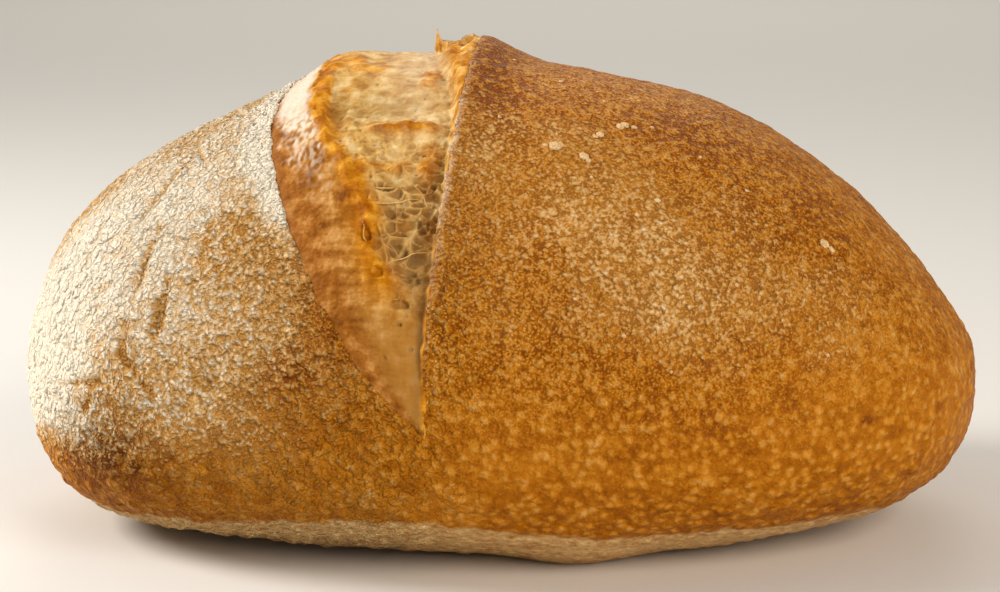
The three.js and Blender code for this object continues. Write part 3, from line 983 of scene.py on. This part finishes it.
pale, gilding, band_skin = (
    add_node(tree, "ValToRGB", {"stops": stops}, {"Fac": tone}).outputs["Color"]
    for stops in (
        [(0.38, "#a06c1c"), (0.50, "#cca052"), (0.62, "#eed49c")],
        [(0.36, "#904c00"), (0.50, "#b87206"), (0.64, "#e0a230")],
        [(0.36, "#743e08"), (0.50, "#9c5e18"), (0.64, "#c48a46")],
    )
)

cured, shaded = (
    add_node(tree, "Math", TIMES, {0: mask[layer], 1: share}).outputs[0]
    for layer, share in (("cured", 0.85), ("shade", 0.65))
)

# Each finish lies over those before it.
finish = pale
for much, tint in (
    # the cream of the young skin is partly painted sheen
    (mask["cream"], colour("#eedcc6")),
    (cured, colour("#a8722c")),
    # the grey brown of the hollows is painted shade
    (mask["hollow"], colour("#86663a")),
    (mask["thin_wall"], colour("#d2ac68")),
    (mask["gold"], gilding),
    (mask["toast"], band_skin),
    (shaded, colour("#965a24")),
):
    finish = add_node(tree, "Mix", COLOURS,
                      {FACTOR: much, FIRST: finish, SECOND: tint}).outputs[MIXED]
tree.links.new(finish, shader.inputs["Base Color"])

# %% Sheen and relief of the crumb
gloss = add_node(tree, "MapRange", None,
                 {"Value": mask["cream"], "To Min": 0.60, "To Max": 0.34}).outputs[0]
tree.links.new(gloss, shader.inputs["Roughness"])
wetness = add_node(tree, "MapRange", None,
                   {"Value": mask["cream"], "To Min": 0.08, "To Max": 0.32}).outputs[0]
tree.links.new(wetness, shader.inputs["Specular IOR Level"])
shader.inputs["Subsurface Weight"].default_value = 0.12
shader.inputs["Subsurface Radius"].default_value = (1.0, 0.55, 0.25)
shader.inputs["Subsurface Scale"].default_value = 1.0 * MM
# Grains of about a millimetre roughen the young skin, as they do the crust.
cell = add_node(tree, "TexVoronoi", None, {"Vector": where, "Scale": mm(1.0)}).outputs["Distance"]
grains = add_node(tree, "Math", TIMES, {0: cell, 1: mask["toast"]}).outputs[0]
height = 0.0
for pattern, weight in ((fibres, 0.45), (specks, 0.10), (grains, -0.55)):
    height = add_node(tree, "Math", ADD, {0: pattern, 1: weight, 2: height}).outputs[0]
relief = add_node(tree, "Bump", None, {"Distance": 0.7 * MM, "Height": height})
tree.links.new(relief.outputs["Normal"], shader.inputs["Normal"])
crumb_mesh.materials.append(crumb_skin)
print("crumb material has", len(tree.nodes), "nodes")

# %% [markdown]
# ## Strands across the bubbles
#
# Where two bubbles tear apart, gluten is drawn out into threads that dry in the oven. They stand
# free of the crumb, so they are pieces of their own: each is a narrow grid that is rolled to a
# tube, bent along its path and drawn out to a point at both ends, inside the crumb.

# %% Strands
STRANDS = [
    # from across and angle, to across and angle, radius in mm
    (0.50, 41.5, 0.74, 44.0, 0.16),
    (0.56, 38.5, 0.90, 40.5, 0.16),
    (0.55, 33.0, 0.74, 27.5, 0.14),
    (0.60, 26.0, 0.95, 29.5, 0.14),
    (0.64, 20.6, 0.84, 20.9, 0.10),
    (0.74, 46.0, 0.90, 38.0, 0.18),
    (0.66, 44.0, 0.92, 48.5, 0.18),
    (0.46, 37.0, 0.49, 30.5, 0.14),
    (0.42, 112.0, 0.70, 120.0, 0.28),
    (0.55, 124.0, 0.86, 128.0, 0.26),
    (0.40, 136.0, 0.72, 133.0, 0.26),
    (0.60, 108.0, 0.88, 114.0, 0.24),
]
STEPS_ALONG, STEPS_ROUND = 22, 8


def ground_at(spot_across, spot_angle):
    """Height of the crumb's surface at a place in the slash."""
    along, around = near_spot(spot_across, spot_angle)
    return surface[np.argmin(along**2 + around**2)]


def slash_place(spot_across, spot_angle, height):
    """A point in mm over a place in the slash."""
    at = np.array([float(spot_angle)])
    station = mix(left_lip(at), right_lip(at), spot_across)
    return Vector(skin_place(station, at, height + swollen(station, at))[0])


strand_bm = bmesh.new()
for a1, g1, a2, g2, radius in STRANDS:
    ends = ground_at(a1, g1), ground_at(a2, g2)
    made = bmesh.ops.create_grid(strand_bm, x_segments=STEPS_ROUND, y_segments=STEPS_ALONG, size=0.5)
    centres = []
    for share in np.linspace(0, 1, STEPS_ALONG + 1):
        spot = mix(a1, a2, share), mix(g1, g2, share)
        rest_height = max(mix(*ends, share), ground_at(*spot) - 0.1)
        centres.append(slash_place(*spot, rest_height - 0.4 * (1 - math.sin(math.pi * share))))
    start, stop = centres[0], centres[-1]
    outwards = slash_place((a1 + a2) / 2, (g1 + g2) / 2, 9) - slash_place((a1 + a2) / 2, (g1 + g2) / 2, 0)
    outwards.normalize()
    beside = (stop - start).cross(outwards).normalized()
    for vert in made["verts"]:
        share, round_turn = vert.co.y + 0.5, math.tau * (vert.co.x + 0.5)
        bow = math.sin(math.pi * share)
        wave = noise.noise(Vector((share * 2.2, a1 * 40, g1)))
        centre = centres[round(share * STEPS_ALONG)] + outwards * 0.1 * bow + beside * 1.8 * wave * bow
        thick = 0.75 * radius * min(1, 6 * bow) * (1 + 0.9 * wave) + 1e-4
        vert.co = (centre + (beside * math.cos(round_turn) + outwards * math.sin(round_turn)) * thick) * MM
bmesh.ops.remove_doubles(strand_bm, verts=strand_bm.verts, dist=1e-6)
bmesh.ops.recalc_face_normals(strand_bm, faces=strand_bm.faces)
strand_mesh = to_mesh("crumb_strands", strand_bm)
everywhere = np.ones(len(strand_mesh.vertices))
set_layers(strand_mesh, {"thin_wall": 0.6 * everywhere, "gold": 0.15 * everywhere})
strand_mesh.materials.append(crumb_skin)
strands = link(bpy.data.objects.new("crumb_strands", strand_mesh))
print(len(STRANDS), "strands,", len(strand_mesh.polygons), "faces")

# %% [markdown]
# ## The torn collar
#
# Under the ear the crumb was pulled up into a thin collar that tore off in rags, one of them a
# sharp spike. A rag is a sheet with a ragged upper edge: a grid is stood on the crumb, its top
# follows a profile, and it is given an even thickness.

# %% Rags
RAGS = [
    # angle, lean in degrees, and the profile: station and height over the plain skin in mm
    (93.5, 3, [(-15.6, 0.2), (-15.1, 2.0), (-14.8, 4.9), (-14.5, 3.2), (-14.0, 2.1), (-12.6, 2.0),
               (-10.2, 2.2), (-9.4, 3.1), (-8.2, 4.0), (-6.6, 4.3), (-5.2, 3.6), (-4.4, 2.9)]),
    (88.0, 5, [(-14.0, 0.6), (-12.8, 1.9), (-11.6, 1.2), (-10.4, 2.2), (-9.0, 1.6), (-7.6, 2.9),
               (-6.4, 2.2), (-5.2, 2.6)]),
    (98.5, -4, [(-13.5, 0.5), (-12.0, 2.0), (-10.5, 1.4), (-8.5, 2.6), (-6.5, 3.2), (-4.5, 2.4)]),
    (82.0, 6, [(-12.6, 0.2), (-11.4, 1.5), (-10.0, 0.9), (-8.6, 1.8), (-7.4, 1.0)]),
]
RAG_ROOT = -1.5  # mm that a rag reaches into the crumb
RAG_THICKNESS = 0.8
SPIKE_AT = -14.9  # station of the sharp rag

rag_bm = bmesh.new()
for rag_angle, lean, profile in RAGS:
    stations, tops = zip(*profile)
    made = bmesh.ops.create_grid(rag_bm, x_segments=90, y_segments=14, size=0.5)
    for vert in made["verts"]:
        u, v = vert.co.x + 0.5, vert.co.y + 0.5
        station = mix(stations[0], stations[-1], u)
        fringe = 0.35 * noise.noise(Vector((station * 2.2, rag_angle, 0)))
        top = float(np.interp(station, stations, tops)) + fringe
        curl = 0.5 * v**2 * bell(station - SPIKE_AT, 0.8)
        station -= curl - 0.25 * noise.noise(Vector((u * 9, v * 3, rag_angle)))
        sway = 0.8 * noise.noise(Vector((u * 5, v * 2, rag_angle))) + lean * v * 0.5
        at = np.array([rag_angle + sway])
        vert.co = Vector(skin_place(np.array([station]), at, mix(RAG_ROOT, top, v))[0]) * MM
    sheet = list({face for vert in made["verts"] for face in vert.link_faces})
    bmesh.ops.solidify(rag_bm, geom=made["verts"] + sheet, thickness=RAG_THICKNESS * MM)
bmesh.ops.recalc_face_normals(rag_bm, faces=rag_bm.faces)
rag_mesh = to_mesh("torn_collar", rag_bm)
rag_points = get_points(rag_mesh) / MM
set_layers(rag_mesh, {"gold": 0.35 + 0.4 * noise_at(rag_points, 3, 50)})
rag_mesh.materials.append(crumb_skin)
torn_collar = link(bpy.data.objects.new("torn_collar", rag_mesh))
print("torn collar has", len(rag_mesh.polygons), "faces")

# %% [markdown]
# ## Clumps of flour
#
# A few lumps of flour that were never brushed off sit on the crust, and finer grains lie around
# them. Each lump is a small icosphere, pressed flat on the skin and made uneven.

# %% Flour clumps
CLUMPS = [
    # station, angle, radius in mm
    (10.5, 52.0, 1.3), (11.9, 52.8, 0.8), (17.0, 50.0, 1.1), (18.4, 49.4, 0.7),
    (25.0, 61.0, 1.0), (26.8, 61.4, 0.9), (28.4, 61.8, 0.7), (21.0, 57.0, 0.9),
    (69.0, 42.5, 1.1), (70.6, 41.6, 0.8), (19.4, 56.0, 0.6), (32.0, 43.0, 0.7),
]
SCATTERED = 70  # finer grains, spread by the golden ratio
CLUMPS += [
    (mix(-100, 78, n * 0.618034 % 1), mix(8, 168, n * 0.754878 % 1), mix(0.28, 0.55, n * 0.569840 % 1))
    for n in range(SCATTERED)
]
skin_normals = get_normals(crust_mesh)
on_skin = np.where(lip_turn == 0, 0.0, 1e6)
in_the_slash = [left_lip(np.array(a)) - 1 < s < right_lip(np.array(a)) + 1 for s, a, _ in CLUMPS]

clump_bm = bmesh.new()
for (station, at, radius), lost in zip(CLUMPS, in_the_slash):
    if lost:
        continue
    spot = np.argmin((crust_x - station) ** 2 + ((crust_angle - at) * MM_PER_DEGREE) ** 2 + on_skin)
    out = Vector(skin_normals[spot])
    made = bmesh.ops.create_icosphere(clump_bm, subdivisions=2, radius=1)
    for vert in made["verts"]:
        bumps = 1 + 0.45 * noise.noise(vert.co * 1.3 + Vector((station, at, 0)))
        lump = vert.co * bumps * radius
        lump -= out * lump.dot(out) * 0.62
        vert.co = (Vector(relief_points[spot]) + out * 0.08 * radius + lump) * MM
clump_mesh = to_mesh("flour_clumps", clump_bm)
flour_clumps = link(bpy.data.objects.new("flour_clumps", clump_mesh))
print(len(CLUMPS) - sum(in_the_slash), "clumps of flour")

# %% Flour material
flour_grain, tree, shader = new_material("wheat_flour")
where = add_node(tree, "TexCoord").outputs["Object"]
grit = add_node(tree, "TexNoise", None,
                {"Vector": where, "Scale": mm(0.4), "Detail": 2.0}).outputs["Fac"]
powder = add_node(tree, "ValToRGB", {"stops": [(0.35, "#c8985c"), (0.60, "#e0c296")]},
                  {"Fac": grit}).outputs["Color"]
tree.links.new(powder, shader.inputs["Base Color"])
shader.inputs["Roughness"].default_value = 0.95
shader.inputs["Specular IOR Level"].default_value = 0.1
relief = add_node(tree, "Bump", None, {"Distance": 0.3 * MM, "Height": grit})
tree.links.new(relief.outputs["Normal"], shader.inputs["Normal"])
clump_mesh.materials.append(flour_grain)

# %% [markdown]
# ## The floor
#
# A plain pale table, far wider than the view, so that no edge shows.

# %% Floor
floor_bm = bmesh.new()
bmesh.ops.create_grid(floor_bm, x_segments=1, y_segments=1, size=6)
floor_mesh = bpy.data.meshes.new("floor")
floor_bm.to_mesh(floor_mesh)
floor_bm.free()
floor = link(bpy.data.objects.new("floor", floor_mesh))
table, tree, shader = new_material("pale_table")
shader.inputs["Base Color"].default_value = colour("#dedad4")
shader.inputs["Roughness"].default_value = 0.8
floor_mesh.materials.append(table)

# %% [markdown]
# ## Hand the pieces to the frame
#
# Crust, crumb, strands, collar and flour together stand for the one solid, and ride on its body.

# %% Ride and replace
for piece in (crust, torn_crumb, strands, torn_collar, flour_clumps):
    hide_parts("loaf")
    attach(piece, "root")
